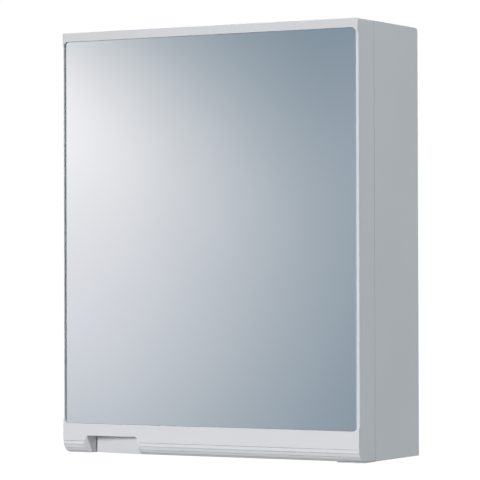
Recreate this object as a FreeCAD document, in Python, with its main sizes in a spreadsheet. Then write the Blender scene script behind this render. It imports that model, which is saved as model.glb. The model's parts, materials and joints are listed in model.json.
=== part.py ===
import FreeCAD, Part
import math
import os

import Sketcher

# Wall-hung mirror cabinet with one door.
# Frame: origin at the middle of the back face, X to the right seen from the front,
# Y towards the wall (the back face lies on y = 0, the door's front on y = -depth), Z up.

V = FreeCAD.Vector
doc = FreeCAD.newDocument("mirror_cabinet")
sheet = doc.addObject("Spreadsheet::Sheet", "Dimensions")

NUMBERS = [
    # overall
    ("width", 355.0),
    ("height", 450.0),
    ("depth", 140.0),
    # body
    ("body_depth", 102.0),
    ("body_wall", 3.0),
    ("body_back_radius", 4.5),
    ("body_edge_radius", 0.6),
    ("body_rim_radius", 0.3),
    ("body_inner_radius", 3.0),
    ("back_relief", 1.0),
    # door
    ("door_rear", 102.6),
    ("door_lift", 0.9),
    ("door_wall", 2.5),
    ("door_edge_radius", 0.8),
    ("door_corner_radius", 2.0),
    ("door_rear_radius", 0.4),
    ("chin_radius", 13.5),
    ("recess_top", 215.5),
    ("recess_bottom", 192.6),
    ("recess_half_width", 176.2),
    ("recess_right", 175.6),
    ("recess_depth", 5.8),
    ("recess_corner", 5.5),
    ("recess_rim", 0.3),
    ("web_rear", 132.0),
    ("cutback", 2.3),
    ("cutback_top", 210.2),
    ("cutback_bottom", 186.8),
    ("cutback_runout", 2.6),
    # finger recess in the chin
    ("grip_left", 147.9),
    ("grip_right", 84.3),
    ("grip_top", 205.4),
    ("grip_deep", 120.0),
    ("grip_shallow", 132.0),
    ("grip_corner_left", 2.0),
    ("grip_corner_right", 4.0),
    ("grip_facet", 0.67),
    ("grip_facet_run", 0.8),
    ("grip_rim_radius", 0.8),
    ("grip_slot", 1.3),
    ("grip_slot_deep", 3.0),
    ("grip_slot_under", 2.0),
    # grooves of the chin
    ("groove_radius", 1.0),
    ("groove_out", 0.3),
    ("groove_start", 5.5),
    ("groove_step", 17.6),
    ("groove_land", 11.0),
    ("groove_gap_left", 150.5),
    ("groove_gap_right", 82.3),
    # mirror
    ("mirror_gap", 0.15),
    ("mirror_side_gap", 1.7),
    ("mirror_front", 138.0),
    ("mirror_thick", 3.0),
    ("mirror_corner", 4.5),
    ("mirror_bevel", 0.9),
    ("mirror_bevel_deep", 0.35),
    ("tape_thick", 0.8),
    ("tape_width", 20.0),
    ("tape_height", 380.0),
    # hinge
    ("pivot_x", 173.0),
    ("pivot_y", 124.0),
    ("pin_radius", 2.0),
    ("bush_bore", 2.05),
    ("bush_radius", 3.2),
    ("bush_length", 10.0),
    ("plate_thick", 1.0),
    ("plate_left", 146.0),
    ("plate_right", 177.2),
    ("plate_front", 129.5),
    ("plate_rear", 62.0),
    ("plate_drop", 0.3),
    ("arm_half", 3.2),
    ("hinge_gap", 0.3),
    ("hinge_screw_y", 78.0),
    ("hinge_screw_a", 152.0),
    ("hinge_screw_b", 166.0),
    # liner of the door
    ("liner_thick", 2.0),
    ("liner_gap", 0.4),
    ("post_radius", 3.5),
    ("panel_rise", 1.2),
    # shelves
    ("rib_depth", 5.0),
    ("rib_width", 14.0),
    ("rib_rear_y", 25.0),
    ("rib_front_y", 81.0),
    ("rib_half_height", 125.0),
    ("peg_radius", 2.5),
    ("peg_pitch", 32.0),
    ("peg_count", 8.0),
    ("peg_level", 80.0),
    ("peg_depth", 6.0),
    ("peg_reach", 7.5),
    ("peg_flange", 4.0),
    ("shelf_thick", 4.0),
    ("shelf_half_width", 167.5),
    ("shelf_front", 92.0),
    ("shelf_rear", 8.0),
    # hanging holes
    ("hang_x", 140.0),
    ("hang_z", 190.0),
    ("hang_hole", 3.0),
    ("hang_slot", 12.0),
    ("hang_pad", 4.0),
    ("hanger_thick", 1.5),
    ("hanger_screw", 20.0),
    # magnetic catch
    ("catch_z", 150.0),
    ("catch_left", 170.0),
    ("catch_right", 156.0),
    ("catch_front", 100.3),
    ("catch_rear", 84.0),
    ("pole_thick", 1.2),
    ("pole_front", 101.3),
    ("catch_screw", 17.5),
    ("strike_thick", 1.0),
    ("strike_screw", 15.5),
    # screws
    ("hinge_screw_radius", 1.75),
    ("small_screw_radius", 1.45),
    ("catch_screw_radius", 1.25),
]
for row, (alias, number) in enumerate(NUMBERS, 1):
    sheet.set("A%d" % row, alias)
    sheet.set("B%d" % row, repr(number))
    sheet.setAlias("B%d" % row, alias)
doc.recompute()


class Size:
    """A length in millimetres together with the sheet expression that gives it."""

    def __init__(self, text, value):
        self.text, self.value = text, float(value)

    def __add__(self, other):
        o = size(other)
        return Size("(%s + %s)" % (self.text, o.text), self.value + o.value)

    def __sub__(self, other):
        o = size(other)
        return Size("(%s - %s)" % (self.text, o.text), self.value - o.value)

    def __mul__(self, factor):
        return Size("(%s * %s)" % (self.text, repr(float(factor))), self.value * factor)

    def __truediv__(self, factor):
        return Size("(%s / %s)" % (self.text, repr(float(factor))), self.value / factor)

    def __neg__(self):
        return Size("(0 - %s)" % self.text, -self.value)

    def __rsub__(self, other):
        return size(other) - self

    def __radd__(self, other):
        return size(other) + self


def size(x):
    return x if isinstance(x, Size) else Size(repr(float(x)), x)


D = {alias: Size("Dimensions.%s" % alias, number) for alias, number in NUMBERS}

W2, H2 = D["width"] / 2, D["height"] / 2
DEPTH = D["depth"]
# the door ends a little above the body's underside, which leaves room for the lower hinge plate
DOOR_LOW = -(H2 - D["door_lift"])


def bind(obj, prop, length):
    obj.setExpression(prop, size(length).text)


# ---------------------------------------------------------------- sketch helpers


def new_body(label):
    body = doc.addObject("PartDesign::Body", label)
    body.Label = label
    return body


def new_sketch(body, name, role, offset=0):
    """A sketch on one of the body's own origin planes, moved along the plane's normal."""
    sk = body.newObject("Sketcher::SketchObject", name)
    plane = next(f for f in body.Origin.OriginFeatures if f.Role == role)
    sk.AttachmentSupport = [(plane, "")]
    sk.MapMode = "FlatFace"
    offset = size(offset)
    sk.AttachmentOffset = FreeCAD.Placement(V(0, 0, offset.value), FreeCAD.Rotation())
    sk.setExpression("AttachmentOffset.Base.z", offset.text)
    return sk


def fix_point(sk, geo, pos, x, y=None):
    for kind, length in (("DistanceX", x), ("DistanceY", y)):
        if length is not None:
            length = size(length)
            c = sk.addConstraint(Sketcher.Constraint(kind, -1, 1, geo, pos, length.value))
            sk.setExpression("Constraints[%d]" % c, length.text)


def outline(sk, points, arcs=None):
    """A closed outline. arcs[i] is the centre of a quarter or half round from point i to the next, run anticlockwise."""
    arcs = arcs or {}
    n, first = len(points), sk.GeometryCount
    pts = [(size(a), size(b)) for a, b in points]
    for i in range(n):
        a = V(pts[i][0].value, pts[i][1].value, 0)
        b = V(pts[(i + 1) % n][0].value, pts[(i + 1) % n][1].value, 0)
        if i in arcs:
            c = V(size(arcs[i][0]).value, size(arcs[i][1]).value, 0)
            a0 = math.atan2(a.y - c.y, a.x - c.x)
            a1 = math.atan2(b.y - c.y, b.x - c.x)
            if a1 <= a0 + 1e-9:
                a1 += 2 * math.pi
            sk.addGeometry(Part.ArcOfCircle(Part.Circle(c, V(0, 0, 1), (a - c).Length), a0, a1))
        else:
            sk.addGeometry(Part.LineSegment(a, b))
    for i in range(n):
        sk.addConstraint(Sketcher.Constraint("Coincident", first + i, 2, first + (i + 1) % n, 1))
    for i in range(n):
        fix_point(sk, first + i, 1, pts[i][0], pts[i][1])
        if i in arcs:
            quarter = abs(pts[i][1].value - pts[(i + 1) % n][1].value) > 1e-6
            if quarter and abs(pts[i][0].value - pts[(i + 1) % n][0].value) < 1e-6:
                fix_point(sk, first + i, 3, arcs[i][0])
            elif quarter:
                fix_point(sk, first + i, 3, arcs[i][0])
            else:
                fix_point(sk, first + i, 3, None, arcs[i][1])


def rectangle(sk, x0, x1, y0, y1):
    outline(sk, [(x0, y0), (x1, y0), (x1, y1), (x0, y1)])


def circle(sk, x, y, radius):
    radius = size(radius)
    g = sk.addGeometry(Part.Circle(V(size(x).value, size(y).value, 0), V(0, 0, 1), radius.value))
    fix_point(sk, g, 3, x, y)
    c = sk.addConstraint(Sketcher.Constraint("Radius", g, radius.value))
    sk.setExpression("Constraints[%d]" % c, radius.text)


def slot(sk, x, y, length, radius):
    """A slot along the sketch's x, centred on (x, y)."""
    half = length / 2 - radius
    outline(
        sk,
        [(x - half, y - radius), (x + half, y - radius), (x + half, y + radius), (x - half, y + radius)],
        {1: (x + half, y), 3: (x - half, y)},
    )


def pad(body, name, sk, length, back=False, both=False):
    return extrude(body, "Pad", name, sk, length, back, both)


def pocket(body, name, sk, length, back=False, both=False):
    return extrude(body, "Pocket", name, sk, length, back, both)


def extrude(body, kind, name, sk, length, back, both):
    """Adds the feature and makes sure that it changed the piece the right way."""
    doc.recompute()
    before = 0.0 if body.Shape.isNull() else body.Shape.Volume
    f = body.newObject("PartDesign::" + kind, name)
    f.Profile = sk
    f.Length = size(length).value
    bind(f, "Length", length)
    f.Reversed = back
    if both:
        f.SideType = "Symmetric"
    doc.recompute()
    grown = body.Shape.Volume - before
    if (kind == "Pad" and grown < 1e-3) or (kind == "Pocket" and grown > -1e-3):
        raise SystemExit("%s of %s changed the volume by %.4f" % (name, body.Label, grown))
    return f


def cut_along(body, name, sections):
    """Cuts away the ruled solid that runs from sketch to sketch."""
    doc.recompute()
    before = body.Shape.Volume
    f = body.newObject("PartDesign::SubtractiveLoft", name)
    f.Profile = sections[0]
    f.Sections = sections[1:]
    f.Ruled = True
    doc.recompute()
    if body.Shape.Volume > before - 1e-3:
        raise SystemExit("%s of %s cut nothing" % (name, body.Label))
    return f


def edges_of(shape, test):
    return ["Edge%d" % (i + 1) for i, e in enumerate(shape.Edges) if test(e)]


def round_edges(body, name, radius, test, kind="Fillet"):
    doc.recompute()
    base = body.Tip
    names = edges_of(base.Shape, test)
    if not names:
        raise SystemExit("%s of %s found no edge" % (name, body.Label))
    f = body.newObject("PartDesign::" + kind, name)
    f.Base = (base, names)
    prop = "Radius" if kind == "Fillet" else "Size"
    setattr(f, prop, size(radius).value)
    bind(f, prop, radius)
    doc.recompute()
    return f


def near(a, b, tol=1e-4):
    return abs(a - size(b).value) < tol


def straight(e, axis):
    """True for a straight edge along the axis 0, 1 or 2."""
    if len(e.Vertexes) != 2 or e.Curve.TypeId != "Part::GeomLine":
        return False
    d = e.Vertexes[1].Point - e.Vertexes[0].Point
    return abs(d[axis]) > 1e-6 and all(abs(d[i]) < 1e-6 for i in range(3) if i != axis)


def at(e, axis, *values):
    return any(all(near(v.Point[axis], x) for v in e.Vertexes) for x in values)


def ring(e, axis, level, radius):
    """True for a whole circle of this radius that lies on this level of the axis."""
    return (
        e.Curve.TypeId == "Part::GeomCircle"
        and near(e.Curve.Radius, radius)
        and near(e.Curve.Center[axis], level)
    )


def group(label, shape, placements):
    """Identical loose pieces, one solid per place, kept together."""
    obj = doc.addObject("Part::Feature", label)
    obj.Label = label
    solids = []
    for p in placements:
        s = shape.copy()
        s.Placement = p
        solids.append(s)
    obj.Shape = Part.Compound(solids)
    obj.Placement = FreeCAD.Placement()
    return obj


def turned(points):
    """A solid of revolution about Z of an outline given as (radius, height) pairs."""
    pts = [V(r, 0, z) for r, z in points]
    face = Part.Face(Part.makePolygon(pts + pts[:1]))
    return face.revolve(V(0, 0, 0), V(0, 0, 1), 360)


def facing(point, direction):
    """Puts a piece made along +Z at a point, along this direction."""
    return FreeCAD.Placement(V(*point), FreeCAD.Rotation(V(0, 0, 1), V(*direction)))


def flat_head_screw(shank, head, length):
    """Countersunk screw with a cross recess; its head lies on z = 0 and its point at +Z."""
    cone = head - shank
    s = turned([(0, 0), (head, 0), (shank, cone), (shank, length - 1.5), (0.4, length), (0, length)])
    return recessed(s, head * 0.55)


def pan_head_screw(shank, head, height, length):
    """Pan-head screw with a cross recess; the underside of its head lies on z = 0."""
    s = turned(
        [(0, -height), (head * 0.72, -height), (head, -height * 0.55), (head, 0), (shank, 0),
         (shank, length - 1.5), (0.4, length), (0, length)]
    )
    return recessed(s, head * 0.5, -height)


def recessed(s, arm, level=0.0):
    for turn in (0, 90):
        b = Part.makeBox(2 * arm, 0.5, 0.8, V(-arm, -0.25, level - 0.01))
        b.rotate(V(0, 0, 0), V(0, 0, 1), turn)
        s = s.cut(b)
    return s


def num(alias):
    return D[alias].value


# ---------------------------------------------------------------- body: a deep moulded tray

shell = new_body("body_shell")
sk = new_sketch(shell, "shell_outline", "XZ_Plane")
rectangle(sk, -W2, W2, -H2, H2)
pad(shell, "shell_block", sk, D["body_depth"])
round_edges(shell, "shell_top_rear", D["body_back_radius"],
            lambda e: straight(e, 0) and at(e, 1, 0) and at(e, 2, H2))
sk = new_sketch(shell, "shell_hollow_outline", "XZ_Plane", D["body_depth"])
rectangle(sk, -(W2 - D["body_wall"]), W2 - D["body_wall"], -(H2 - D["body_wall"]), H2 - D["body_wall"])
pocket(shell, "shell_hollow", sk, D["body_depth"] - D["body_wall"])
round_edges(shell, "shell_hollow_corners", D["body_inner_radius"],
            lambda e: straight(e, 1) and at(e, 0, -(W2 - D["body_wall"]), W2 - D["body_wall"])
            and at(e, 2, -(H2 - D["body_wall"]), H2 - D["body_wall"]))
round_edges(shell, "shell_outer_edges", D["body_edge_radius"],
            lambda e: straight(e, 1) and at(e, 0, -W2, W2) and at(e, 2, -H2, H2))
round_edges(shell, "shell_rim", D["body_rim_radius"],
            lambda e: (straight(e, 0) and at(e, 1, -D["body_depth"]) and at(e, 2, -H2, H2))
            or (straight(e, 2) and at(e, 1, -D["body_depth"]) and at(e, 0, -W2, W2)))

# upright ribs inside the sides, which carry the shelf pegs
rib_face = W2 - D["body_wall"] - D["rib_depth"]
sk = new_sketch(shell, "rib_outlines", "XY_Plane", -D["rib_half_height"])
for rib_y in (D["rib_rear_y"], D["rib_front_y"]):
    for x0, x1 in ((-(W2 - 1), -rib_face), (rib_face, W2 - 1)):
        rectangle(sk, x0, x1, -rib_y - D["rib_width"] / 2, -rib_y + D["rib_width"] / 2)
pad(shell, "ribs", sk, D["rib_half_height"] * 2)
round_edges(shell, "rib_edges", 1.0,
            lambda e: straight(e, 2) and at(e, 0, -rib_face, rib_face))

# rows of peg holes in the ribs
lowest = -(D["peg_pitch"] * 3.5)
for side, off, back in (("left", -rib_face, False), ("right", rib_face, True)):
    sk = new_sketch(shell, "peg_holes_" + side, "YZ_Plane", off)
    for rib_y in (D["rib_rear_y"], D["rib_front_y"]):
        circle(sk, -rib_y, lowest, D["peg_radius"])
    first_holes = pocket(shell, "peg_hole_pair_" + side, sk, D["peg_depth"], back)
    rows = shell.newObject("PartDesign::LinearPattern", "peg_rows_" + side)
    rows.Originals = [first_holes]
    rows.Direction = (sk, ["V_Axis"])
    rows.Occurrences = int(num("peg_count"))
    rows.Length = num("peg_pitch") * (num("peg_count") - 1)
    rows.setExpression("Length", "Dimensions.peg_pitch * (Dimensions.peg_count - 1)")
    shell.Tip = rows
    doc.recompute()

# bosses for the screws of the hinge plates
for end, level, back in (("bottom", -(H2 - D["body_wall"] + 0.5), False), ("top", H2 - D["body_wall"] + 0.5, True)):
    sk = new_sketch(shell, "hinge_bosses_" + end, "XY_Plane", level)
    for x in (D["hinge_screw_a"], D["hinge_screw_b"]):
        circle(sk, x, -D["hinge_screw_y"], 4.0)
    pad(shell, "hinge_boss_pair_" + end, sk, 9.0, back)

# pad on the left wall for the catch
sk = new_sketch(shell, "catch_pad_outline", "XY_Plane", -(D["catch_z"] + 25))
rectangle(sk, -(W2 - 1), -D["catch_left"], -D["catch_front"] + 0.2, -80.0)
pad(shell, "catch_pad", sk, 50.0)

# pads on the back wall behind the hanger plates
sk = new_sketch(shell, "hanger_pad_outlines", "XZ_Plane", D["body_wall"] - 0.5)
for x in (-D["hang_x"], D["hang_x"]):
    rectangle(sk, x - 28, x + 28, D["hang_z"] - 20, D["hang_z"] + 20)
pad(shell, "hanger_pads", sk, D["hang_pad"] + 0.5)

# hanging slots at the top, round fixing holes at the bottom
hang_front = D["body_wall"] + D["hang_pad"]
sk = new_sketch(shell, "hanging_slots_outline", "XZ_Plane", hang_front + 1)
for x in (-D["hang_x"], D["hang_x"]):
    slot(sk, x, D["hang_z"], D["hang_slot"], D["hang_hole"])
pocket(shell, "hanging_slots", sk, hang_front + 2)
sk = new_sketch(shell, "fixing_holes_outline", "XZ_Plane", D["body_wall"] + 1)
for x in (-D["hang_x"], D["hang_x"]):
    circle(sk, x, -D["hang_z"], D["hang_hole"])
pocket(shell, "fixing_holes", sk, D["body_wall"] + 2)
sk = new_sketch(shell, "hanger_screw_holes_outline", "XZ_Plane", hang_front)
for x in (-D["hang_x"], D["hang_x"]):
    for dx in (-D["hanger_screw"], D["hanger_screw"]):
        circle(sk, x + dx, D["hang_z"], D["small_screw_radius"] + 0.05)
pocket(shell, "hanger_screw_holes", sk, hang_front - 1.5)

# four shallow fields in the back, so that a border and a cross rest on the wall
sk = new_sketch(shell, "back_field_outlines", "XZ_Plane", -1)
for x0, x1 in ((-118.0, -9.0), (9.0, 118.0)):
    for z0, z1 in ((-200.0, -9.0), (9.0, 200.0)):
        rectangle(sk, x0, x1, z0, z1)
pocket(shell, "back_fields", sk, D["back_relief"] + 1, True)
round_edges(shell, "back_field_corners", 9.0,
            lambda e: straight(e, 1) and at(e, 0, -118.0, -9.0, 9.0, 118.0) and at(e, 2, -200.0, -9.0, 9.0, 200.0))

# shallow seats for the hinge plates in the bottom and the top, with holes for their screws
sk = new_sketch(shell, "lower_seat_outline", "XY_Plane", -H2)
rectangle(sk, D["plate_left"] - 0.3, D["pivot_x"] - 0.2, -D["body_depth"] - 1, -D["plate_rear"] + 0.3)
pocket(shell, "lower_seat", sk, D["plate_thick"] - D["plate_drop"], True)
arm_left, arm_right = D["pivot_x"] - D["arm_half"], D["pivot_x"] + D["arm_half"]
sk = new_sketch(shell, "upper_seat_outline", "XY_Plane", H2)
outline(sk, [(arm_left - 0.3, -D["body_depth"] - 1), (arm_right + 0.3, -D["body_depth"] - 1),
             (arm_right + 0.3, -D["plate_rear"] + 0.3), (D["plate_left"] - 0.3, -D["plate_rear"] + 0.3),
             (D["plate_left"] - 0.3, -D["plate_rear"] - 34.3), (arm_left - 0.3, -D["plate_rear"] - 34.3)])
pocket(shell, "upper_seat", sk, D["plate_thick"] + 0.1)
for end, level, back in (("bottom", -(H2 + 1), True), ("top", H2 + 1, False)):
    sk = new_sketch(shell, "hinge_screw_holes_" + end, "XY_Plane", level)
    for x in (D["hinge_screw_a"], D["hinge_screw_b"]):
        circle(sk, x, -D["hinge_screw_y"], D["hinge_screw_radius"] + 0.05)
    pocket(shell, "hinge_screw_hole_pair_" + end, sk, 11.5, back)

# holes for the catch screws
sk = new_sketch(shell, "catch_screw_holes_outline", "YZ_Plane", -D["catch_left"])
for dz in (-D["catch_screw"], D["catch_screw"]):
    circle(sk, -90.0, -D["catch_z"] + dz, D["catch_screw_radius"] + 0.05)
pocket(shell, "catch_screw_holes", sk, 6.3)

# ---------------------------------------------------------------- door frame: a moulded tray with the mirror recess

frame = new_body("door_frame")
sk = new_sketch(frame, "frame_section", "YZ_Plane")
rectangle(sk, -DEPTH, -D["door_rear"], DOOR_LOW, H2)
pad(frame, "frame_block", sk, W2 * 2, both=True)
round_edges(frame, "chin_round", D["chin_radius"],
            lambda e: straight(e, 0) and at(e, 1, -DEPTH) and at(e, 2, DOOR_LOW))
round_edges(frame, "frame_corners", D["door_corner_radius"],
            lambda e: straight(e, 1) and at(e, 0, -W2, W2) and at(e, 2, H2))
round_edges(frame, "frame_edges", D["door_edge_radius"],
            lambda e: (straight(e, 2) and at(e, 1, -DEPTH) and at(e, 0, -W2, W2))
            or (straight(e, 0) and at(e, 1, -DEPTH) and at(e, 2, H2)))
round_edges(frame, "frame_rear_edges", D["door_rear_radius"],
            lambda e: at(e, 1, -D["door_rear"]))

# hollow, open to the rear, with the chin and the top bar hollowed further forward
arc_y, arc_z = -(DEPTH - D["chin_radius"]), DOOR_LOW + D["chin_radius"]
inner = D["chin_radius"] - D["door_wall"]
skin = DEPTH - D["door_wall"]
sk = new_sketch(frame, "frame_hollow_section", "YZ_Plane")
outline(sk, [(-D["door_rear"] + 2, H2 - D["door_wall"]), (-skin, H2 - D["door_wall"]),
             (-skin, D["recess_top"] + D["door_wall"]), (-D["web_rear"], D["recess_top"] + D["door_wall"]),
             (-D["web_rear"], -(D["recess_bottom"] + D["door_wall"])), (-skin, -(D["recess_bottom"] + D["door_wall"])),
             (-skin, arc_z), (arc_y, arc_z - inner), (-D["door_rear"] + 2, arc_z - inner)],
        {6: (arc_y, arc_z)})
pocket(frame, "frame_hollow", sk, (W2 - D["door_wall"]) * 2, both=True)

# recess for the mirror
sk = new_sketch(frame, "mirror_recess_outline", "XZ_Plane", DEPTH)
rectangle(sk, -D["recess_half_width"], D["recess_right"], -D["recess_bottom"], D["recess_top"])
pocket(frame, "mirror_recess", sk, D["recess_depth"])
round_edges(frame, "mirror_recess_corners", D["recess_corner"],
            lambda e: straight(e, 1) and at(e, 0, -D["recess_half_width"], D["recess_right"])
            and at(e, 2, -D["recess_bottom"], D["recess_top"]))
round_edges(frame, "mirror_recess_rim", D["recess_rim"],
            lambda e: straight(e, 0) and at(e, 1, -DEPTH) and at(e, 2, -D["recess_bottom"], D["recess_top"]))

# front edges cut off beside the mirror, running out at both ends
for side in ("right", "left"):
    sections = []
    for i, (level, c) in enumerate(((-D["cutback_bottom"] - D["cutback_runout"], size(0.7)), (-D["cutback_bottom"], D["cutback"]),
                                    (D["cutback_top"], D["cutback"]), (D["cutback_top"] + D["cutback_runout"], size(0.7)))):
        sk = new_sketch(frame, "cutback_%s_%d" % (side, i + 1), "XY_Plane", level)
        if side == "right":
            outline(sk, [(W2 - c - 0.5, -DEPTH - 0.5), (W2 + 0.3, -DEPTH - 0.5), (W2 + 0.3, -DEPTH + c + 0.3)])
        else:
            outline(sk, [(-(W2 - c - 0.5), -DEPTH - 0.5), (-(W2 + 0.3), -DEPTH + c + 0.3), (-(W2 + 0.3), -DEPTH - 0.5)])
        sections.append(sk)
    cut_along(frame, "cutback_" + side, sections)

# walls round the finger recess, then the recess itself, deeper on its left
wide = inner + 0.7
sk = new_sketch(frame, "grip_block_section", "YZ_Plane", -D["grip_left"] - D["door_wall"] * 2)
outline(sk, [(arc_y - wide, -D["grip_top"] + D["door_wall"]), (arc_y - wide, arc_z),
             (arc_y, arc_z - wide), (-D["grip_deep"] + D["door_wall"] * 2, arc_z - wide),
             (-D["grip_deep"] + D["door_wall"] * 2, -D["grip_top"] + D["door_wall"])],
        {1: (arc_y, arc_z)})
pad(frame, "grip_block", sk, D["grip_left"] - D["grip_right"] + D["door_wall"] * 3)
sk = new_sketch(frame, "grip_outline", "XY_Plane", -D["grip_top"])
outline(sk, [(-D["grip_left"], -DEPTH - 2), (-D["grip_right"], -DEPTH - 2),
             (-D["grip_right"], -D["grip_shallow"]), (-D["grip_left"], -D["grip_deep"])])
pocket(frame, "grip", sk, H2 - D["grip_top"] + 2)


def middle(e):
    return e.valueAt((e.FirstParameter + e.LastParameter) / 2)


def on_chin(p):
    """Whether the point lies on the chin's front or on its round."""
    r = math.hypot(p.y - arc_y.value, p.z - arc_z.value)
    on_front = near(p.y, -DEPTH, 1e-3) and p.z > arc_z.value - 1e-3
    return on_front or (near(r, D["chin_radius"], 1e-3) and p.z < arc_z.value)


round_edges(frame, "grip_corner_left", D["grip_corner_left"],
            lambda e: straight(e, 1) and at(e, 2, -D["grip_top"]) and at(e, 0, -D["grip_left"]))
round_edges(frame, "grip_corner_right", D["grip_corner_right"],
            lambda e: straight(e, 1) and at(e, 2, -D["grip_top"]) and at(e, 0, -D["grip_right"]))
round_edges(frame, "grip_rim", D["grip_rim_radius"], lambda e: at(e, 0, -D["grip_right"]) and on_chin(middle(e)))

# the front edge of the left wall is cut off by a slanting facet that widens downwards
sections = []
for i, drop in enumerate((H2 - D["grip_top"] + 2, size(0.4))):
    sk = new_sketch(frame, "grip_facet_%d" % (i + 1), "XY_Plane", -D["grip_top"] - drop)
    back = drop * num("grip_facet")
    run = num("grip_facet_run")
    outline(sk, [(-D["grip_left"] + 3, -DEPTH - 1.5), (-D["grip_left"] + 3, -DEPTH + back + 3 / run),
                 (-D["grip_left"] - (back + 1.5) * run, -DEPTH - 1.5)])
    sections.append(sk)
cut_along(frame, "grip_facet_cut", sections)

# a narrow gap behind the left wall of the finger recess, undercut to the left
sk = new_sketch(frame, "grip_slot_outline", "XY_Plane", -D["grip_top"] - 0.5)
rectangle(sk, -D["grip_left"] - D["grip_slot_under"], -D["grip_left"] + D["grip_slot"], -D["grip_deep"] - 0.6,
          -D["grip_deep"] + D["grip_slot_deep"])
pocket(frame, "grip_slot_cut", sk, H2 - D["grip_top"] + 2)

# four grooves along the chin, on both sides of the finger recess: a small cove, then a flat that runs out downwards
for name, off, length in (("right", W2 + 1, W2 + D["groove_gap_right"] + 1),
                          ("left", -D["groove_gap_left"], W2 - D["groove_gap_left"] + 1)):
    sk = new_sketch(frame, "grooves_%s_section" % name, "YZ_Plane", off)
    for i in range(4):
        a = math.radians(num("groove_start") + num("groove_step") * i)
        reach = D["chin_radius"] + D["groove_out"]
        circle(sk, arc_y - reach * math.cos(a), arc_z - reach * math.sin(a), D["groove_radius"])
    pocket(frame, "grooves_" + name, sk, length)
    sk = new_sketch(frame, "groove_flats_%s_section" % name, "YZ_Plane", off)
    for i in range(4):
        a = math.radians(num("groove_start") + num("groove_step") * i)
        b = a + math.radians(num("groove_land"))
        floor = reach - D["groove_radius"]
        clear = D["chin_radius"] + 0.6
        y0, z0 = arc_y - floor * math.cos(a), arc_z - floor * math.sin(a)
        y1, z1 = arc_y - D["chin_radius"] * math.cos(b), arc_z - D["chin_radius"] * math.sin(b)
        outline(sk, [(arc_y - clear * math.cos(a), arc_z - clear * math.sin(a)), (y0, z0),
                     (y1 * 1.2 - y0 * 0.2, z1 * 1.2 - z0 * 0.2),
                     (arc_y - clear * math.cos(b + 0.04), arc_z - clear * math.sin(b + 0.04))])
    pocket(frame, "groove_flats_" + name, sk, length)

# blocks for the hinge bushes, and the relief over the upper plate's arm
for end, level, back in (("bottom", DOOR_LOW + D["door_wall"] - 1, False), ("top", H2 - D["door_wall"] + 1, True)):
    sk = new_sketch(frame, "bush_block_%s_outline" % end, "XY_Plane", level)
    rectangle(sk, D["pivot_x"] - 7.5, W2 - 1.5, -D["pivot_y"] - 5.0, -D["pivot_y"] + 8.5)
    pad(frame, "bush_block_" + end, sk, 12.5, back)
relief = H2 - D["plate_thick"] - 0.1 - D["hinge_gap"]
sk = new_sketch(frame, "arm_relief_outline", "XY_Plane", H2 + 1)
rectangle(sk, D["pivot_x"] - D["arm_half"] - 1, W2 + 1, -D["pivot_y"] - 5.9, -D["door_rear"] + 1)
pocket(frame, "arm_relief", sk, H2 + 1 - relief)
sk = new_sketch(frame, "bush_seat_top_outline", "XY_Plane", H2 + 1)
circle(sk, D["pivot_x"], -D["pivot_y"], D["bush_radius"])
pocket(frame, "bush_seat_top", sk, H2 + 1 - relief + D["bush_length"])
sk = new_sketch(frame, "bush_seat_bottom_outline", "XY_Plane", DOOR_LOW - 1)
circle(sk, D["pivot_x"], -D["pivot_y"], D["bush_radius"])
pocket(frame, "bush_seat_bottom", sk, D["bush_length"] + 1, True)

# posts for the screws of the liner and of the strike plate
LINER_POSTS = [(-165.0, 205.0), (0.0, 205.0), (160.0, 195.0), (-165.0, 20.0), (165.0, 20.0),
               (-165.0, -190.0), (0.0, -186.0), (160.0, -186.0)]
STRIKE_X = (D["catch_left"] + D["catch_right"]) / 2
STRIKE_POSTS = [(-STRIKE_X, -D["catch_z"] - D["strike_screw"]), (-STRIKE_X, -D["catch_z"] + D["strike_screw"])]
liner_front = D["door_rear"] + D["liner_thick"]
sk = new_sketch(frame, "post_outlines", "XZ_Plane", D["web_rear"] + 0.5)
for x, z in LINER_POSTS + STRIKE_POSTS:
    circle(sk, x, z, D["post_radius"])
pad(frame, "posts", sk, D["web_rear"] + 0.5 - liner_front, True)
sk = new_sketch(frame, "post_hole_outlines", "XZ_Plane", liner_front)
for x, z in LINER_POSTS + STRIKE_POSTS:
    circle(sk, x, z, D["small_screw_radius"] + 0.05)
pocket(frame, "post_holes", sk, 14.0, True)

# ---------------------------------------------------------------- mirror and its foam tape

mirror = new_body("mirror_glass")
sk = new_sketch(mirror, "mirror_outline", "XZ_Plane", D["mirror_front"] - D["mirror_thick"])
mx, mt, mb = D["recess_half_width"] - D["mirror_side_gap"], D["recess_top"] - D["mirror_gap"], D["recess_bottom"] - D["mirror_gap"]
rectangle(sk, -mx, mx, -mb, mt)
pad(mirror, "mirror_plate", sk, D["mirror_thick"])
round_edges(mirror, "mirror_corners", D["mirror_corner"], lambda e: straight(e, 1))
bw, bd, mf = D["mirror_bevel"], D["mirror_bevel_deep"], D["mirror_front"]
for side in ("right", "left"):
    sk = new_sketch(mirror, "mirror_bevel_%s_section" % side, "XY_Plane", -mb - 1)
    if side == "right":
        outline(sk, [(mx - bw, -mf), (mx - bw, -mf - 0.5), (mx + bw, -mf - 0.5), (mx + bw, -mf + bd * 2)])
    else:
        outline(sk, [(-(mx - bw), -mf), (-(mx + bw), -mf + bd * 2), (-(mx + bw), -mf - 0.5), (-(mx - bw), -mf - 0.5)])
    pocket(mirror, "mirror_bevel_" + side, sk, mt + mb + 2, True)

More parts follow.
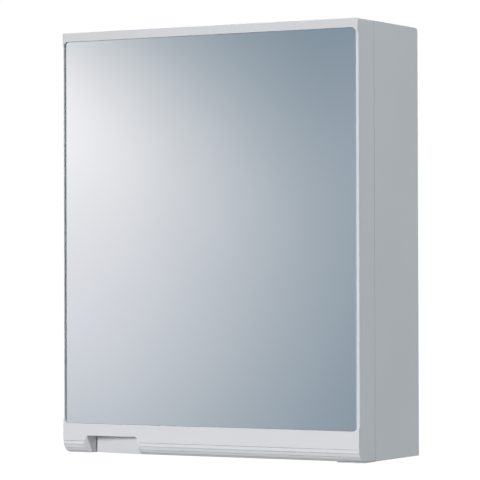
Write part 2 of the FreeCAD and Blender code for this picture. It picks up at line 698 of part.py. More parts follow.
strips = []
for i, x in enumerate((-150.0, -50.0, 50.0, 150.0)):
    b = doc.addObject("Part::Box", "tape_strip_%d" % (i + 1))
    bind(b, "Length", D["tape_width"])
    bind(b, "Width", D["tape_thick"])
    bind(b, "Height", D["tape_height"])
    bind(b, "Placement.Base.x", x - D["tape_width"] / 2)
    bind(b, "Placement.Base.y", -(D["mirror_front"] - D["mirror_thick"]))
    bind(b, "Placement.Base.z", (mt - mb) / 2 - D["tape_height"] / 2)
    strips.append(b)
tape = doc.addObject("Part::Compound", "mirror_tape")
tape.Label = "mirror_tape"
tape.Links = strips

# ---------------------------------------------------------------- liner that closes the door at the rear

liner = new_body("door_liner")
sk = new_sketch(liner, "liner_outline", "XZ_Plane", D["door_rear"])
edge = D["door_wall"] + D["liner_gap"]
lx = W2 - edge
rectangle(sk, -lx, lx, DOOR_LOW + edge, H2 - edge)
pad(liner, "liner_panel", sk, D["liner_thick"])
round_edges(liner, "liner_corners", 1.0, lambda e: straight(e, 1))
# raised field that stiffens the panel, hollow on its hidden side
field_rear = D["door_rear"] - D["panel_rise"]
sk = new_sketch(liner, "liner_field_outline", "XZ_Plane", field_rear)
rectangle(sk, -146.0, 146.0, -170.0, 190.0)
pad(liner, "liner_field", sk, D["panel_rise"] + 0.5)
round_edges(liner, "liner_field_corners", 12.0,
            lambda e: straight(e, 1) and at(e, 0, -146.0, 146.0) and at(e, 2, -170.0, 190.0))
round_edges(liner, "liner_field_edge", 0.9,
            lambda e: straight(e, 0) and at(e, 1, -field_rear) and at(e, 2, -170.0, 190.0))
sk = new_sketch(liner, "liner_field_hollow_outline", "XZ_Plane", liner_front + 1)
rectangle(sk, -144.0, 144.0, -168.0, 188.0)
pocket(liner, "liner_field_hollow", sk, D["panel_rise"] + 1)
round_edges(liner, "liner_field_hollow_corners", 10.0,
            lambda e: straight(e, 1) and at(e, 0, -144.0, 144.0) and at(e, 2, -168.0, 188.0))
hole = D["small_screw_radius"] + 0.15
sk = new_sketch(liner, "liner_hole_outlines", "XZ_Plane", liner_front + 1)
for x, z in LINER_POSTS:
    circle(sk, x, z, hole)
pocket(liner, "liner_holes", sk, D["liner_thick"] + 2)
round_edges(liner, "liner_countersinks", 1.2, lambda e: ring(e, 1, -D["door_rear"], hole), "Chamfer")
sk = new_sketch(liner, "strike_hole_outlines", "XZ_Plane", liner_front + 1)
for x, z in STRIKE_POSTS:
    circle(sk, x, z, hole)
pocket(liner, "strike_holes", sk, D["liner_thick"] + 2)

small = num("small_screw_radius")
into_door = (0, -1, 0)
liner_screw = flat_head_screw(small, small + 1.15, 13.0)
group("liner_screws", liner_screw,
      [facing((x, -num("door_rear"), z), into_door) for x, z in LINER_POSTS])

# ---------------------------------------------------------------- strike plate of the catch

strike = new_body("strike_plate")
strike_rear = D["door_rear"] - D["strike_thick"]
sk = new_sketch(strike, "strike_outline", "XZ_Plane", strike_rear)
rectangle(sk, -D["catch_left"], -D["catch_right"], -D["catch_z"] - 21, -D["catch_z"] + 21)
pad(strike, "strike_sheet", sk, D["strike_thick"])
round_edges(strike, "strike_corners", 3.0, lambda e: straight(e, 1))
round_edges(strike, "strike_edges", 0.3, lambda e: at(e, 1, -strike_rear))
sk = new_sketch(strike, "strike_screw_holes_outline", "XZ_Plane", strike_rear - 1)
for x, z in STRIKE_POSTS:
    circle(sk, x, z, hole)
pocket(strike, "strike_screw_holes", sk, D["strike_thick"] + 2, True)
round_edges(strike, "strike_countersinks", 0.9, lambda e: ring(e, 1, -strike_rear, hole), "Chamfer")
strike_screw = flat_head_screw(small, small + 0.9, 13.0)
group("strike_screws", strike_screw,
      [facing((size(x).value, -strike_rear.value, size(z).value), into_door) for x, z in STRIKE_POSTS])

# ---------------------------------------------------------------- hinge

# lower plate: a flat sheet let into the body's underside, which reaches forward below the door
low = new_body("hinge_plate_bottom")
z1 = -H2 - D["plate_drop"]
t = D["plate_thick"]
sk = new_sketch(low, "lower_plate_outline", "XY_Plane", z1)
wing_rear = D["body_depth"] + 0.3
outline(sk, [(D["plate_left"], -D["plate_front"]), (D["plate_right"], -D["plate_front"]), (D["plate_right"], -wing_rear),
             (D["pivot_x"] - 0.5, -wing_rear), (D["pivot_x"] - 0.5, -D["plate_rear"]), (D["plate_left"], -D["plate_rear"])])
pad(low, "lower_plate_sheet", sk, t)
round_edges(low, "lower_plate_corners", 4.0,
            lambda e: straight(e, 2) and at(e, 1, -D["plate_front"]))
round_edges(low, "lower_plate_rear_corners", 2.0,
            lambda e: straight(e, 2) and at(e, 1, -D["plate_rear"]))
round_edges(low, "lower_plate_edges", 0.25, lambda e: at(e, 2, z1))
sk = new_sketch(low, "lower_pin_hole_outline", "XY_Plane", z1 - 1)
circle(sk, D["pivot_x"], -D["pivot_y"], D["pin_radius"])
pocket(low, "lower_pin_hole", sk, t + 2, True)
screw_hole = D["hinge_screw_radius"] + 0.15
sk = new_sketch(low, "lower_screw_holes_outline", "XY_Plane", z1 - 1)
for x in (D["hinge_screw_a"], D["hinge_screw_b"]):
    circle(sk, x, -D["hinge_screw_y"], screw_hole)
pocket(low, "lower_screw_holes", sk, t + 2, True)
round_edges(low, "lower_countersinks", 0.9, lambda e: ring(e, 2, z1, screw_hole), "Chamfer")

# upper plate: an arm that reaches forward to the pivot, let into the top
high = new_body("hinge_plate_top")
high_under = H2 - t - 0.1
sk = new_sketch(high, "upper_plate_outline", "XY_Plane", high_under)
outline(sk, [(arm_left, -D["pivot_y"]), (arm_right, -D["pivot_y"]), (arm_right, -D["plate_rear"]),
             (D["plate_left"], -D["plate_rear"]), (D["plate_left"], -D["plate_rear"] - 34),
             (arm_left, -D["plate_rear"] - 34)],
        {0: (D["pivot_x"], -D["pivot_y"])})
pad(high, "upper_plate_sheet", sk, t)
sk = new_sketch(high, "upper_pin_hole_outline", "XY_Plane", high_under - 1)
circle(sk, D["pivot_x"], -D["pivot_y"], D["pin_radius"])
pocket(high, "upper_pin_hole", sk, t + 2, True)
sk = new_sketch(high, "upper_screw_holes_outline", "XY_Plane", high_under - 1)
for x in (D["hinge_screw_a"], D["hinge_screw_b"]):
    circle(sk, x, -D["hinge_screw_y"], screw_hole)
pocket(high, "upper_screw_holes", sk, t + 2, True)
round_edges(high, "upper_countersinks", 0.9, lambda e: ring(e, 2, high_under + t, screw_hole), "Chamfer")

# pins riveted into the plates
for label, low_end, length in (
        ("hinge_pin_top", relief - D["bush_length"] + 0.4, H2 - 0.1 - relief + D["bush_length"] - 0.4),
        ("hinge_pin_bottom", z1, DOOR_LOW - z1 + D["bush_length"] - 0.4)):
    pin = doc.addObject("Part::Cylinder", label)
    pin.Label = label
    bind(pin, "Radius", D["pin_radius"])
    bind(pin, "Height", length)
    bind(pin, "Placement.Base.x", D["pivot_x"])
    bind(pin, "Placement.Base.y", -D["pivot_y"])
    bind(pin, "Placement.Base.z", low_end)

# bushes pressed into the door
for label, low_end in (("pivot_bush_top", relief - D["bush_length"]), ("pivot_bush_bottom", DOOR_LOW)):
    bush = new_body(label)
    sk = new_sketch(bush, label + "_section", "XY_Plane", low_end)
    circle(sk, D["pivot_x"], -D["pivot_y"], D["bush_radius"])
    circle(sk, D["pivot_x"], -D["pivot_y"], D["bush_bore"])
    pad(bush, label + "_sleeve", sk, D["bush_length"])

hs = num("hinge_screw_radius")
hinge_screw = flat_head_screw(hs, hs + 0.95, 9.5)
hx = (num("hinge_screw_a"), num("hinge_screw_b"))
group("hinge_plate_screws", hinge_screw,
      [facing((x, -num("hinge_screw_y"), z1.value), (0, 0, 1)) for x in hx]
      + [facing((x, -num("hinge_screw_y"), num("height") / 2 - 0.1), (0, 0, -1)) for x in hx])

# ---------------------------------------------------------------- shelves and pegs

peg = turned([(0, 0), (num("peg_radius") - 0.05, 0), (num("peg_radius") - 0.05, num("peg_depth") - 0.2),
              (num("peg_flange"), num("peg_depth") - 0.2), (num("peg_flange"), num("peg_depth") + 1.3),
              (num("peg_radius"), num("peg_depth") + 1.3),
              (num("peg_radius"), num("peg_depth") + num("peg_reach")), (0, num("peg_depth") + num("peg_reach"))])
# the flange lies on the rib's face
hole_end = rib_face.value + num("peg_depth") - 0.2
places = []
for sign in (-1, 1):
    for y in (num("rib_rear_y"), num("rib_front_y")):
        for z in (-num("peg_level"), num("peg_level")):
            places.append(facing((sign * hole_end, -y, z), (-sign, 0, 0)))
group("shelf_pegs", peg, places)
for label, level in (("shelf_lower", -D["peg_level"]), ("shelf_upper", D["peg_level"])):
    shelf = new_body(label)
    sk = new_sketch(shelf, label + "_outline", "XY_Plane", level + D["peg_radius"])
    rectangle(sk, -D["shelf_half_width"], D["shelf_half_width"], -D["shelf_front"], -D["shelf_rear"])
    pad(shelf, label + "_plate", sk, D["shelf_thick"])
    round_edges(shelf, label + "_corners", 4.0, lambda e: straight(e, 2))
    round_edges(shelf, label + "_edges", 0.6, lambda e: straight(e, 0) or straight(e, 1), "Chamfer")

# ---------------------------------------------------------------- hanger plates

for label, x in (("hanger_plate_left", -D["hang_x"]), ("hanger_plate_right", D["hang_x"])):
    plate = new_body(label)
    sk = new_sketch(plate, label + "_outline", "XZ_Plane", hang_front)
    rectangle(sk, x - 26, x + 26, D["hang_z"] - 16, D["hang_z"] + 16)
    pad(plate, label + "_sheet", sk, D["hanger_thick"])
    round_edges(plate, label + "_corners", 4.0, lambda e: straight(e, 1))
    sk = new_sketch(plate, label + "_slot_outline", "XZ_Plane", hang_front - 1)
    slot(sk, x, D["hang_z"], D["hang_slot"], D["hang_hole"])
    for dx in (-D["hanger_screw"], D["hanger_screw"]):
        circle(sk, x + dx, D["hang_z"], D["small_screw_radius"] + 0.15)
    pocket(plate, label + "_holes", sk, D["hanger_thick"] + 2, True)

hanger_screw = pan_head_screw(small, 2.8, 1.9, num("hanger_thick") + hang_front.value - 2.0)
group("hanger_plate_screws", hanger_screw,
      [facing((s * num("hang_x") + dx, -hang_front.value - num("hanger_thick"), num("hang_z")), (0, 1, 0))
       for s in (-1, 1) for dx in (-num("hanger_screw"), num("hanger_screw"))])

# ---------------------------------------------------------------- magnetic catch

cz = D["catch_z"]
catch = new_body("catch_housing")
sk = new_sketch(catch, "catch_block_outline", "XZ_Plane", D["catch_rear"])
rectangle(sk, -D["catch_left"], -D["catch_right"], -cz - 13, -cz + 13)
pad(catch, "catch_block", sk, D["catch_front"] - D["catch_rear"])
sk = new_sketch(catch, "catch_ears_outline", "XZ_Plane", D["catch_rear"])
rectangle(sk, -D["catch_left"], -D["catch_left"] + 4, -cz - 22.5, -cz + 22.5)
pad(catch, "catch_ears", sk, 12.0)
round_edges(catch, "catch_ear_corners", 2.5,
            lambda e: straight(e, 0) and at(e, 2, -cz - 22.5, -cz + 22.5))
sk = new_sketch(catch, "catch_cavity_outline", "XZ_Plane", D["catch_front"])
rectangle(sk, -D["catch_left"] + 1.8, -D["catch_right"] - 1.8, -cz - 10.2, -cz + 10.2)
pocket(catch, "catch_cavity", sk, D["catch_front"] - D["catch_rear"] - 2)
sk = new_sketch(catch, "catch_ear_holes_outline", "YZ_Plane", -D["catch_left"] + 5)
for dz in (-D["catch_screw"], D["catch_screw"]):
    circle(sk, -90.0, -cz + dz, D["catch_screw_radius"] + 0.15)
pocket(catch, "catch_ear_holes", sk, 6.0)

cavity_rear = D["catch_rear"] + 2
poles = []
for i, x in enumerate((-D["catch_left"] + 1.8, -D["catch_right"] - 1.8 - D["pole_thick"])):
    b = doc.addObject("Part::Box", "pole_%d" % (i + 1))
    bind(b, "Length", D["pole_thick"])
    bind(b, "Width", D["pole_front"] - cavity_rear)
    bind(b, "Height", 20)
    bind(b, "Placement.Base.x", x)
    bind(b, "Placement.Base.y", -D["pole_front"])
    bind(b, "Placement.Base.z", -cz - 10)
    poles.append(b)
pole_pair = doc.addObject("Part::Compound", "catch_pole_plates")
pole_pair.Label = "catch_pole_plates"
pole_pair.Links = poles

magnet = doc.addObject("Part::Box", "catch_magnet")
magnet.Label = "catch_magnet"
bind(magnet, "Length", D["catch_left"] - D["catch_right"] - 3.6 - D["pole_thick"] * 2)
bind(magnet, "Width", D["catch_front"] - 0.5 - cavity_rear)
bind(magnet, "Height", 20)
bind(magnet, "Placement.Base.x", -D["catch_left"] + 1.8 + D["pole_thick"])
bind(magnet, "Placement.Base.y", -D["catch_front"] + 0.5)
bind(magnet, "Placement.Base.z", -cz - 10)

cr = num("catch_screw_radius")
catch_screw = pan_head_screw(cr, 2.3, 1.6, 9.8)
group("catch_screws", catch_screw,
      [facing((-num("catch_left") + 4, -90.0, -num("catch_z") + dz), (-1, 0, 0))
       for dz in (-num("catch_screw"), num("catch_screw"))])

# ---------------------------------------------------------------- write the pieces

NODES = [
    "body_shell", "hanger_plate_left", "hanger_plate_right", "hanger_plate_screws",
    "hinge_plate_top", "hinge_plate_bottom", "hinge_pin_top", "hinge_pin_bottom", "hinge_plate_screws",
    "shelf_upper", "shelf_lower", "shelf_pegs",
    "catch_housing", "catch_magnet", "catch_pole_plates", "catch_screws",
    "door_frame", "mirror_glass", "mirror_tape", "door_liner", "liner_screws",
    "pivot_bush_top", "pivot_bush_bottom", "strike_plate", "strike_screws",
]

doc.recompute()
for obj in doc.Objects:
    bad = [s for s in obj.State if s in ("Invalid", "Error")]
    if bad:
        raise SystemExit("%s is %s" % (obj.Label, bad))
pieces = {}
for label in NODES:
    found = doc.getObjectsByLabel(label)
    if len(found) != 1:
        raise SystemExit("%s: %d objects have this label" % (label, len(found)))
    shape = found[0].Shape
    if shape.isNull() or not shape.isValid():
        raise SystemExit("%s has no valid shape" % label)
    pieces[label] = shape
os.makedirs("parts", exist_ok=True)
for label, shape in pieces.items():
    shape.exportStep("parts/%s.step" % label)
    print("%-22s solids %2d  volume %10.1f mm3" % (label, len(shape.Solids), shape.Volume))
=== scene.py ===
import json
import math

import bpy
from mathutils import Matrix, Vector

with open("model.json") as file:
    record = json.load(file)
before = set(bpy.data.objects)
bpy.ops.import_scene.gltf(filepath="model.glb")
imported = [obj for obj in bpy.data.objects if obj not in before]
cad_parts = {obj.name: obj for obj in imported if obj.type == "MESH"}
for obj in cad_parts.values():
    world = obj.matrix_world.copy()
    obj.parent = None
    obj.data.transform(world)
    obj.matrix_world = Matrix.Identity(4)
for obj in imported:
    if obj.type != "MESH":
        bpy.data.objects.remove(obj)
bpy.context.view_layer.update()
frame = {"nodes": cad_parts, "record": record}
nodes = frame["nodes"]
scene = bpy.context.scene

# ------------------------------------------------------------------ node helpers


def new_material(name):
    mat = bpy.data.materials.new(name)
    mat.use_nodes = True
    tree = mat.node_tree
    tree.nodes.clear()
    out = tree.nodes.new("ShaderNodeOutputMaterial")
    bsdf = tree.nodes.new("ShaderNodeBsdfPrincipled")
    tree.links.new(bsdf.outputs["BSDF"], out.inputs["Surface"])
    return mat, tree, bsdf, out


def add(tree, kind, **values):
    n = tree.nodes.new(kind)
    for k, v in values.items():
        if hasattr(n, k):
            setattr(n, k, v)
        else:
            n.inputs[k.replace("_", " ")].default_value = v
    return n


def math_node(tree, op, a, b=None, c=None, clamp=False):
    n = tree.nodes.new("ShaderNodeMath")
    n.operation = op
    n.use_clamp = clamp
    for i, v in enumerate((a, b, c)):
        if v is None:
            continue
        if isinstance(v, (int, float)):
            n.inputs[i].default_value = v
        else:
            tree.links.new(v, n.inputs[i])
    return n.outputs[0]


def object_coords(tree, scale=(1, 1, 1)):
    tc = tree.nodes.new("ShaderNodeTexCoord")
    mp = tree.nodes.new("ShaderNodeMapping")
    mp.inputs["Scale"].default_value = scale
    tree.links.new(tc.outputs["Object"], mp.inputs["Vector"])
    return mp.outputs["Vector"], tc


def noise(tree, vec, scale, detail=2.0, rough=0.5):
    n = tree.nodes.new("ShaderNodeTexNoise")
    n.inputs["Scale"].default_value = scale
    n.inputs["Detail"].default_value = detail
    n.inputs["Roughness"].default_value = rough
    tree.links.new(vec, n.inputs["Vector"])
    return n


def ramp(tree, fac, stops):
    n = tree.nodes.new("ShaderNodeValToRGB")
    els = n.color_ramp.elements
    while len(els) < len(stops):
        els.new(0.5)
    for e, (pos, col) in zip(els, stops):
        e.position = pos
        e.color = (*col, 1) if len(col) == 3 else col
    tree.links.new(fac, n.inputs["Fac"])
    return n.outputs["Color"]


def remap(tree, fac, lo, hi):
    n = tree.nodes.new("ShaderNodeMapRange")
    n.inputs["To Min"].default_value = lo
    n.inputs["To Max"].default_value = hi
    tree.links.new(fac, n.inputs["Value"])
    return n.outputs["Result"]


def bump(tree, height, strength, distance, normal=None):
    n = tree.nodes.new("ShaderNodeBump")
    n.inputs["Strength"].default_value = strength
    n.inputs["Distance"].default_value = distance
    tree.links.new(height, n.inputs["Height"])
    if normal is not None:
        tree.links.new(normal, n.inputs["Normal"])
    return n.outputs["Normal"]


def mix_color(tree, fac, a, b):
    n = tree.nodes.new("ShaderNodeMix")
    n.data_type = "RGBA"
    for sock, v in ((n.inputs[0], fac), (n.inputs[6], a), (n.inputs[7], b)):
        if hasattr(v, "is_output") or isinstance(v, bpy.types.NodeSocket):
            tree.links.new(v, sock)
        elif isinstance(v, (tuple, list)):
            sock.default_value = (*v, 1) if len(v) == 3 else v
        else:
            sock.default_value = v
    return n.outputs[2]


# ------------------------------------------------------------------ materials


def moulded_plastic(name, colour, rough, grain, grain_depth, tint=0.015):
    """Injection-moulded plastic: fine spark-eroded grain, faint flow clouds, slightly uneven gloss."""
    mat, t, b, _ = new_material(name)
    vec, _ = object_coords(t)
    clouds = noise(t, vec, 9.0, 3.0, 0.55)
    lo = tuple(c * (1 - tint) for c in colour)
    hi = tuple(min(1.0, c * (1 + tint)) for c in colour)
    t.links.new(ramp(t, clouds.outputs["Fac"], [(0.3, lo), (0.7, hi)]), b.inputs["Base Color"])
    fine = noise(t, vec, grain, 2.0, 0.6)
    coarse = noise(t, vec, 60.0, 2.0, 0.5)
    t.links.new(remap(t, coarse.outputs["Fac"], rough - 0.05, rough + 0.05), b.inputs["Roughness"])
    n1 = bump(t, coarse.outputs["Fac"], 0.12, 0.0004)
    n2 = bump(t, fine.outputs["Fac"], 0.35, grain_depth, n1)
    t.links.new(n2, b.inputs["Normal"])
    b.inputs["Specular IOR Level"].default_value = 0.45
    b.inputs["IOR"].default_value = 1.5
    return mat


def metal(name, colour, rough, brushed=None, spangle=0.0):
    """Plated or bare metal. brushed stretches the scratches along one axis."""
    mat, t, b, _ = new_material(name)
    vec, _ = object_coords(t, brushed or (1, 1, 1))
    scratch = noise(t, vec, 700.0 if brushed else 420.0, 3.0, 0.6)
    plain, _ = object_coords(t)
    cloud = noise(t, plain, 140.0, 2.0, 0.5)
    lo = tuple(c * (0.93 - spangle) for c in colour)
    t.links.new(ramp(t, cloud.outputs["Fac"], [(0.3, lo), (0.7, colour)]), b.inputs["Base Color"])
    t.links.new(remap(t, scratch.outputs["Fac"], rough - 0.08, rough + 0.1), b.inputs["Roughness"])
    t.links.new(bump(t, scratch.outputs["Fac"], 0.15, 0.00005), b.inputs["Normal"])
    b.inputs["Metallic"].default_value = 1.0
    return mat


def silvered_mirror(name):
    """Silvered glass: a clean reflecting face and bevel with a faint cool tint, and green ground edges."""
    mat, t, b, _ = new_material(name)
    vec, tc = object_coords(t)
    sep = t.nodes.new("ShaderNodeSeparateXYZ")
    t.links.new(tc.outputs["Normal"], sep.inputs["Vector"])
    face = math_node(t, "GREATER_THAN", math_node(t, "ABSOLUTE", sep.outputs["Y"]), 0.3)
    haze = noise(t, vec, 14.0, 2.0, 0.5)
    silver = ramp(t, haze.outputs["Fac"], [(0.3, (0.885, 0.905, 0.915)), (0.7, (0.900, 0.918, 0.926))])
    t.links.new(mix_color(t, face, (0.30, 0.42, 0.40), silver), b.inputs["Base Color"])
    t.links.new(remap(t, face, 0.28, 0.015), b.inputs["Roughness"])
    t.links.new(remap(t, face, 0.0, 1.0), b.inputs["Metallic"])
    wave = noise(t, vec, 6.0, 1.0, 0.4)
    t.links.new(bump(t, wave.outputs["Fac"], 0.02, 0.0004), b.inputs["Normal"])
    b.inputs["IOR"].default_value = 1.52
    return mat


def clear_glass(name):
    """Float glass: clear through its faces, green where the light runs along the plate to its edges."""
    mat, t, b, _ = new_material(name)
    vec, tc = object_coords(t)
    sep = t.nodes.new("ShaderNodeSeparateXYZ")
    t.links.new(tc.outputs["Normal"], sep.inputs["Vector"])
    face = math_node(t, "GREATER_THAN", math_node(t, "ABSOLUTE", sep.outputs["Z"]), 0.7)
    cloud = noise(t, vec, 12.0, 2.0, 0.5)
    pale = ramp(t, cloud.outputs["Fac"], [(0.3, (0.93, 0.975, 0.96)), (0.7, (0.95, 0.985, 0.972))])
    t.links.new(mix_color(t, face, (0.45, 0.72, 0.64), pale), b.inputs["Base Color"])
    t.links.new(remap(t, face, 0.12, 0.01), b.inputs["Roughness"])
    b.inputs["Transmission Weight"].default_value = 1.0
    b.inputs["IOR"].default_value = 1.52
    return mat


def foam(name):
    mat, t, b, _ = new_material(name)
    vec, _ = object_coords(t)
    cells = t.nodes.new("ShaderNodeTexVoronoi")
    cells.inputs["Scale"].default_value = 2600.0
    t.links.new(vec, cells.inputs["Vector"])
    # darker towards each cell centre, where the bump sinks into a pore: painted shade in the foam's pores
    t.links.new(ramp(t, cells.outputs["Distance"], [(0.0, (0.62, 0.62, 0.60)), (0.6, (0.82, 0.82, 0.80))]),
                b.inputs["Base Color"])
    t.links.new(bump(t, cells.outputs["Distance"], 0.6, 0.0002), b.inputs["Normal"])
    b.inputs["Roughness"].default_value = 0.9
    return mat


def ferrite(name):
    mat, t, b, _ = new_material(name)
    vec, _ = object_coords(t)
    grain = noise(t, vec, 1800.0, 3.0, 0.6)
    t.links.new(ramp(t, grain.outputs["Fac"], [(0.3, (0.025, 0.025, 0.028)), (0.75, (0.07, 0.07, 0.075))]),
                b.inputs["Base Color"])
    t.links.new(remap(t, grain.outputs["Fac"], 0.5, 0.75), b.inputs["Roughness"])
    t.links.new(bump(t, grain.outputs["Fac"], 0.4, 0.0001), b.inputs["Normal"])
    return mat


WHITE = (0.790, 0.806, 0.822)
M = {
    "white_plastic": moulded_plastic("white_plastic", WHITE, 0.42, 1700.0, 0.00004),
    "liner_plastic": moulded_plastic("liner_plastic", (0.77, 0.785, 0.795), 0.52, 1200.0, 0.00008),
    "white_steel": moulded_plastic("white_steel", (0.78, 0.795, 0.81), 0.36, 900.0, 0.00005),
    "acetal": moulded_plastic("acetal", (0.80, 0.80, 0.76), 0.40, 1500.0, 0.00003),
    "mirror": silvered_mirror("mirror"),
    "shelf_glass": clear_glass("shelf_glass"),
    "steel": metal("steel", (0.66, 0.66, 0.655), 0.26, brushed=(1, 1, 0.05)),
    "zinc": metal("zinc", (0.60, 0.62, 0.64), 0.34, spangle=0.08),
    "foam": foam("foam"),
    "ferrite": ferrite("ferrite"),
}
for sub in frame["record"]["subparts"]:
    ob = nodes[sub["node"]]
    ob.data.materials.clear()
    ob.data.materials.append(M[sub["material_slot"]])

# ------------------------------------------------------------------ camera, as the photograph was taken

SIZE = 480.0
FOCAL_PX = 2691.82
cam_data = bpy.data.cameras.new("camera")
cam_data.sensor_fit = "HORIZONTAL"
cam_data.sensor_width = 36.0
cam_data.lens = FOCAL_PX / SIZE * 36.0
cam_data.clip_start, cam_data.clip_end = 0.05, 100.0
cam = bpy.data.objects.new("camera", cam_data)
scene.collection.objects.link(cam)
yaw, pitch, roll = (math.radians(a) for a in (29.4667, 0.652, -0.1676))
fwd = Vector((-math.sin(yaw) * math.cos(pitch), math.cos(yaw) * math.cos(pitch), math.sin(pitch)))
right = Vector((math.cos(yaw), math.sin(yaw), 0.0))
up = right.cross(fwd)
r2 = math.cos(roll) * right + math.sin(roll) * up
u2 = -math.sin(roll) * right + math.cos(roll) * up
rot = Matrix((r2, u2, -fwd)).transposed()
cam.matrix_world = Matrix.Translation(Vector((1.40806, -2.55977, -0.03004))) @ rot.to_4x4()
scene.camera = cam

# ------------------------------------------------------------------ stage

scene.view_settings.view_transform = "Standard"


def aim(ob, target):
    ob.rotation_euler = (Vector(target) - ob.location).to_track_quat("-Z", "Y").to_euler()


def area(name, loc, target, size, power, colour=(1, 1, 1), size_y=None):
    li = bpy.data.lights.new(name, "AREA")
    li.energy = power
    li.color = colour
    li.size = size
    if size_y:
        li.shape = "RECTANGLE"
        li.size_y = size_y
    ob = bpy.data.objects.new(name, li)
    scene.collection.objects.link(ob)
    ob.location = loc
    aim(ob, target)
    return ob


def around(azimuth, elevation, distance, centre=(0.0, -0.07, 0.0)):
    """A place this far from the cabinet; azimuth 0 is straight in front, positive to the right."""
    a, e = math.radians(azimuth), math.radians(elevation)
    return (centre[0] + distance * math.sin(a) * math.cos(e),
            centre[1] - distance * math.cos(a) * math.cos(e),
            centre[2] + distance * math.sin(e))


# a broad key from the front, one that only grazes the front and lights the right side, and
# four that reach the faces turned away from the camera
LIGHTS = {
    "key": (1, 10, 4.2, 1.5, 72.0, (1.0, 0.985, 1.0)),
    "right": (77, 22, 5.0, 2.0, 100.0, (0.94, 0.985, 1.0)),
    "left": (-88, 14, 3.0, 1.6, 26.0, (1.0, 1.0, 1.0)),
    "back": (-174, 12, 3.2, 2.2, 60.0, (1.0, 1.0, 1.0)),
    "above": (-176, 76, 2.8, 1.4, 13.0, (1.0, 1.0, 1.0)),
    "below": (-112, -66, 2.8, 1.4, 15.5, (1.0, 1.0, 1.0)),
}
for name, (azimuth, elevation, distance, size, power, colour) in LIGHTS.items():
    lamp = area(name, around(azimuth, elevation, distance), (0, -0.07, 0), size, power, colour)
    lamp.visible_glossy = False
    lamp.visible_camera = False
# the key is tilted down, so that it is stronger on the lower half of the door
key = bpy.data.objects["key"]
aim(key, (0.03, -0.14, -2.4))
key.data.spread = math.radians(120)

# pale studio: white to the eye, a soft gradient in reflections, dim as a light so that the lamps shape
# the forms
world = bpy.data.worlds.new("studio")
scene.world = world
world.use_nodes = True
wt = world.node_tree
wt.nodes.clear()
w_out = wt.nodes.new("ShaderNodeOutputWorld")
w_path = wt.nodes.new("ShaderNodeLightPath")


def backdrop(colour, strength):
    n = wt.nodes.new("ShaderNodeBackground")
    if isinstance(colour, tuple):
        n.inputs["Color"].default_value = (*colour, 1)
    else:
        wt.links.new(colour, n.inputs["Color"])
    n.inputs["Strength"].default_value = strength
    return n.outputs["Background"]


def either(fac, a, b):
    n = wt.nodes.new("ShaderNodeMixShader")
    wt.links.new(fac, n.inputs["Fac"])
    wt.links.new(a, n.inputs[1])
    wt.links.new(b, n.inputs[2])
    return n.outputs["Shader"]


w_tc = wt.nodes.new("ShaderNodeTexCoord")
w_sep = wt.nodes.new("ShaderNodeSeparateXYZ")
wt.links.new(w_tc.outputs["Generated"], w_sep.inputs["Vector"])
height = math_node(wt, "MULTIPLY_ADD", w_sep.outputs["Z"], 0.5, 0.5)
sky = ramp(wt, height, [(0.0, (0.58, 0.61, 0.64)), (0.40, (0.50, 0.54, 0.58)), (0.52, (0.42, 0.48, 0.54)), (0.72, (0.50, 0.55, 0.60)),
                        (1.0, (0.70, 0.73, 0.76))])
# broad slanting bands of light and shade, as a row of soft boxes would give
band = 1.0
for across, along, rise, pitch, depth in ((0.75, 0.35, 0.55, 31.0, 0.26), (0.60, -0.45, -0.65, 19.0, 0.18)):
    slant = math_node(wt, "MULTIPLY_ADD", w_sep.outputs["X"], across, math_node(wt, "MULTIPLY", w_sep.outputs["Z"], rise))
    slant = math_node(wt, "MULTIPLY_ADD", w_sep.outputs["Y"], along, slant)
    band = math_node(wt, "MULTIPLY_ADD", math_node(wt, "SINE", math_node(wt, "MULTIPLY", slant, pitch)), depth, band)
banded = wt.nodes.new("ShaderNodeVectorMath")
banded.operation = "SCALE"
wt.links.new(sky, banded.inputs[0])
wt.links.new(band, banded.inputs["Scale"])
sky = banded.outputs["Vector"]
lit = either(w_path.outputs["Is Glossy Ray"], backdrop((0.92, 0.96, 1.0), 0.11), backdrop(sky, 1.0))
wt.links.new(either(w_path.outputs["Is Camera Ray"], lit, backdrop((1.0, 1.0, 1.0), 1.02)), w_out.inputs["Surface"])


def sheet_object(name, corners):
    me = bpy.data.meshes.new(name)
    me.from_pydata(corners, [], [(0, 1, 2, 3)])
    ob = bpy.data.objects.new(name, me)
    scene.collection.objects.link(ob)
    return ob


FLOOR = -3.5
floor = sheet_object("floor", [(-40, -40, FLOOR), (40, -40, FLOOR), (40, 40, FLOOR), (-40, 40, FLOOR)])
mat, t, b, out = new_material("floor")
vec, _ = object_coords(t)
t.links.new(ramp(t, noise(t, vec, 1.5, 2.0).outputs["Fac"], [(0.3, (0.90, 0.90, 0.90)), (0.7, (0.92, 0.92, 0.92))]),
            b.inputs["Base Color"])
b.inputs["Roughness"].default_value = 0.9
b.inputs["Specular IOR Level"].default_value = 0.0
floor.data.materials.append(mat)
floor.visible_diffuse = False
floor.visible_glossy = False
# its own overhead light, wide enough for a very soft shadow
sun_data = bpy.data.lights.new("floor_light", "SUN")
sun_data.energy = 3.35
sun_data.angle = math.radians(70)
sun = bpy.data.objects.new("floor_light", sun_data)
scene.collection.objects.link(sun)
sun.visible_glossy = False
only_floor = bpy.data.collections.new("floor_only")
only_floor.objects.link(floor)
sun.light_linking.receiver_collection = only_floor

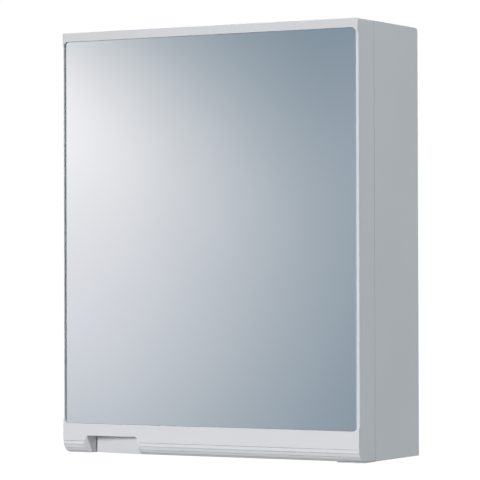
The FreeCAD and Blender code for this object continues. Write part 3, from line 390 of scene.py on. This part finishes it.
# a diffuser in front and to the left, seen only in reflections: soft glows on a dim blue ground,
# which fade out towards its rim
DIST = 1.6
mid = Vector((0.0, -0.138, 0.01))
ref = Vector((-math.sin(yaw), -math.cos(yaw), 0.011)).normalized()
centre = mid + ref * DIST
side = Vector((math.cos(yaw), -math.sin(yaw), 0.0))
HALF = 0.75
card = sheet_object("diffuser", [(-HALF, -HALF, 0), (HALF, -HALF, 0), (HALF, HALF, 0), (-HALF, HALF, 0)])
card.matrix_world = Matrix.Translation(centre) @ Matrix((side, Vector((0, 0, 1)), side.cross(Vector((0, 0, 1))))).transposed().to_4x4()
mat = bpy.data.materials.new("diffuser")
mat.use_nodes = True
t = mat.node_tree
t.nodes.clear()
out = t.nodes.new("ShaderNodeOutputMaterial")
em = t.nodes.new("ShaderNodeEmission")
tc = t.nodes.new("ShaderNodeTexCoord")
sep = t.nodes.new("ShaderNodeSeparateXYZ")
t.links.new(tc.outputs["Object"], sep.inputs["Vector"])
X, Y = sep.outputs["X"], sep.outputs["Y"]


def glow(x, y, a, b, c):
    """A soft slanted spot: exp of minus half of (a dx)^2 + (b dy)^2 + 2 c dx dy."""
    dx, dy = math_node(t, "SUBTRACT", X, x), math_node(t, "SUBTRACT", Y, y)
    q = math_node(t, "MULTIPLY", math_node(t, "MULTIPLY", dx, dx), a * a)
    q = math_node(t, "MULTIPLY_ADD", math_node(t, "MULTIPLY", dy, dy), b * b, q)
    q = math_node(t, "MULTIPLY_ADD", math_node(t, "MULTIPLY", dx, dy), 2 * c, q)
    return math_node(t, "EXPONENT", math_node(t, "MULTIPLY", q, -0.5))


def scaled(fac, colour):
    n = t.nodes.new("ShaderNodeVectorMath")
    n.operation = "SCALE"
    n.inputs[0].default_value = colour
    t.links.new(fac, n.inputs["Scale"])
    return n.outputs["Vector"]


def added(a, b):
    n = t.nodes.new("ShaderNodeVectorMath")
    n.operation = "ADD"
    for sock, v in zip(n.inputs, (a, b)):
        if isinstance(v, tuple):
            sock.default_value = v
        else:
            t.links.new(v, sock)
    return n.outputs["Vector"]


low = scaled(glow(-0.3316, -0.1033, 3.408, 4.103, 0.8725), (0.530, 0.464, 0.446))
high = scaled(glow(-0.7502, 0.3994, 3.510, 6.913, 16.59), (1.188, 1.042, 0.944))
edge = scaled(glow(0.245, 0.190, 22.0, 9.0, 0.0), (0.045, 0.035, 0.045))
t.links.new(added(added(added(low, high), edge), (0.217, 0.289, 0.349)), em.inputs["Color"])
rim = math_node(t, "MAXIMUM", math_node(t, "ABSOLUTE", X), math_node(t, "ABSOLUTE", Y))
fade = t.nodes.new("ShaderNodeMapRange")
fade.interpolation_type = "SMOOTHERSTEP"
fade.inputs["From Min"].default_value = 0.40
fade.inputs["From Max"].default_value = HALF
fade.inputs["To Min"].default_value = 1.0
fade.inputs["To Max"].default_value = 0.0
t.links.new(rim, fade.inputs["Value"])
clear = t.nodes.new("ShaderNodeBsdfTransparent")
both = t.nodes.new("ShaderNodeMixShader")
t.links.new(fade.outputs["Result"], both.inputs["Fac"])
t.links.new(clear.outputs["BSDF"], both.inputs[1])
t.links.new(em.outputs["Emission"], both.inputs[2])
t.links.new(both.outputs["Shader"], out.inputs["Surface"])
card.data.materials.append(mat)
card.visible_camera = False
card.visible_diffuse = False
card.visible_shadow = False
card.visible_transmission = False
